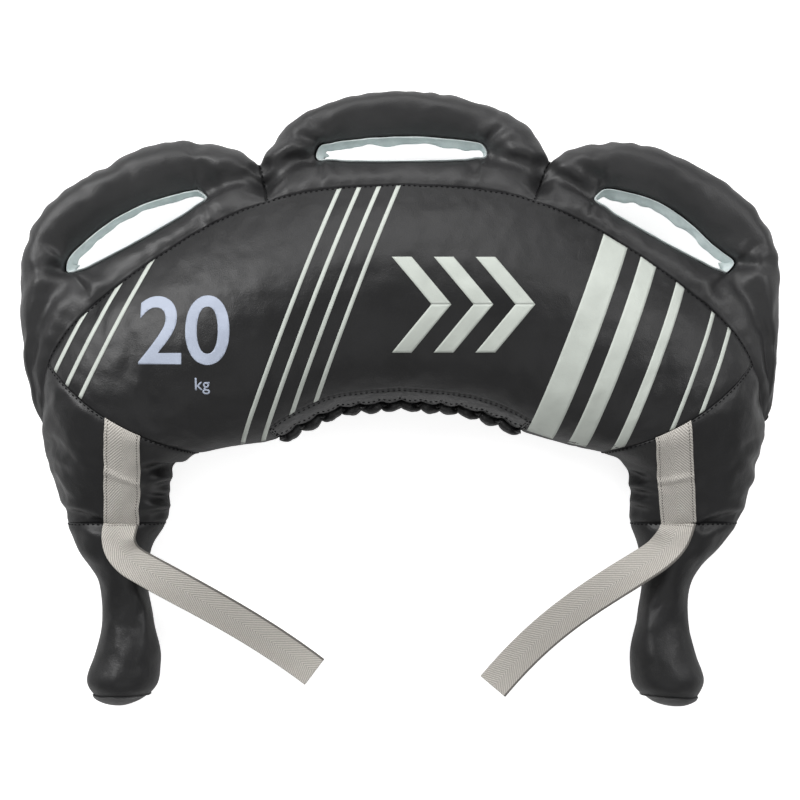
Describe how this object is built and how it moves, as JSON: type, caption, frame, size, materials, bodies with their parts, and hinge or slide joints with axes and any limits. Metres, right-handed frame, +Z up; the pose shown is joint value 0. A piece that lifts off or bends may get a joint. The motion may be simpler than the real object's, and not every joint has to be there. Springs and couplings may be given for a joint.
{
  "type": "bulgarian bag",
  "caption": "Crescent-shaped filled training bag of coated fabric with padded hand slots along its outer edge, bulb-ended grips and free webbing strap tails.",
  "frame": {"origin": "centre of the bag's bounding box on the floor that it lies on", "axes": "+X from the left grip to the right grip, +Y from the grips to the middle handle, +Z up from the back panel through the printed front panel"},
  "size_m": [0.682, 0.5559, 0.135],
  "materials": {
    "back_end_panel_left": "black coated fabric, semi-matt",
    "back_end_panel_right": "black coated fabric, semi-matt",
    "back_panel": "black coated fabric, semi-matt",
    "filling_sack_centre": "plain inner bag",
    "filling_sack_left": "plain inner bag",
    "filling_sack_right": "plain inner bag",
    "front_end_panel_left": "black coated fabric, semi-matt",
    "front_end_panel_right": "black coated fabric, semi-matt",
    "front_panel": "black coated fabric, semi-matt",
    "grip_end_left": "black coated fabric, semi-matt",
    "grip_end_right": "black coated fabric, semi-matt",
    "grip_filling_left": "plain inner bag",
    "grip_filling_right": "plain inner bag",
    "grip_sleeve_left": "black coated fabric, semi-matt",
    "grip_sleeve_right": "black coated fabric, semi-matt",
    "handle_back_centre": "black coated fabric, semi-matt",
    "handle_back_left": "black coated fabric, semi-matt",
    "handle_back_right": "black coated fabric, semi-matt",
    "handle_front_centre": "black coated fabric, semi-matt",
    "handle_front_left": "black coated fabric, semi-matt",
    "handle_front_right": "black coated fabric, semi-matt",
    "handle_padding_centre": "soft foam",
    "handle_padding_left": "soft foam",
    "handle_padding_right": "soft foam",
    "neck_band": "black coated fabric, semi-matt",
    "neck_hem": "black gathered fabric",
    "sewn_strap_left": "grey herringbone webbing",
    "sewn_strap_right": "grey herringbone webbing",
    "slot_lining_centre": "pale grey woven lining",
    "slot_lining_left": "pale grey woven lining",
    "slot_lining_right": "pale grey woven lining",
    "strap_tail_left": "grey herringbone webbing",
    "strap_tail_right": "grey herringbone webbing"
  },
  "bodies": {
    "bag": {"back_end_panel_left": "back_end_panel_left", "back_end_panel_right": "back_end_panel_right", "back_panel": "back_panel", "filling_sack_centre": "filling_sack_centre", "filling_sack_left": "filling_sack_left", "filling_sack_right": "filling_sack_right", "front_end_panel_left": "front_end_panel_left", "front_end_panel_right": "front_end_panel_right", "front_panel": "front_panel", "grip_end_left": "grip_end_left", "grip_end_right": "grip_end_right", "grip_filling_left": "grip_filling_left", "grip_filling_right": "grip_filling_right", "grip_sleeve_left": "grip_sleeve_left", "grip_sleeve_right": "grip_sleeve_right", "handle_back_centre": "handle_back_centre", "handle_back_left": "handle_back_left", "handle_back_right": "handle_back_right", "handle_front_centre": "handle_front_centre", "handle_front_left": "handle_front_left", "handle_front_right": "handle_front_right", "handle_padding_centre": "handle_padding_centre", "handle_padding_left": "handle_padding_left", "handle_padding_right": "handle_padding_right", "neck_band": "neck_band", "neck_hem": "neck_hem", "sewn_strap_left": "sewn_strap_left", "sewn_strap_right": "sewn_strap_right", "slot_lining_centre": "slot_lining_centre", "slot_lining_left": "slot_lining_left", "slot_lining_right": "slot_lining_right"},
    "left_tail": {"strap_tail_left": "strap_tail_left"},
    "right_tail": {"strap_tail_right": "strap_tail_right"}
  },
  "joints": [
    {"name": "left_tail_swing", "type": "hinge", "parent": "bag", "child": "left_tail", "pos_m": [-0.24852, -0.11009, 0.06936], "axis": [-1, 0, 0], "range_deg": [0, 130]},
    {"name": "right_tail_swing", "type": "hinge", "parent": "bag", "child": "right_tail", "pos_m": [0.24852, -0.11009, 0.06936], "axis": [-1, 0, 0], "range_deg": [0, 130]}
  ]
}
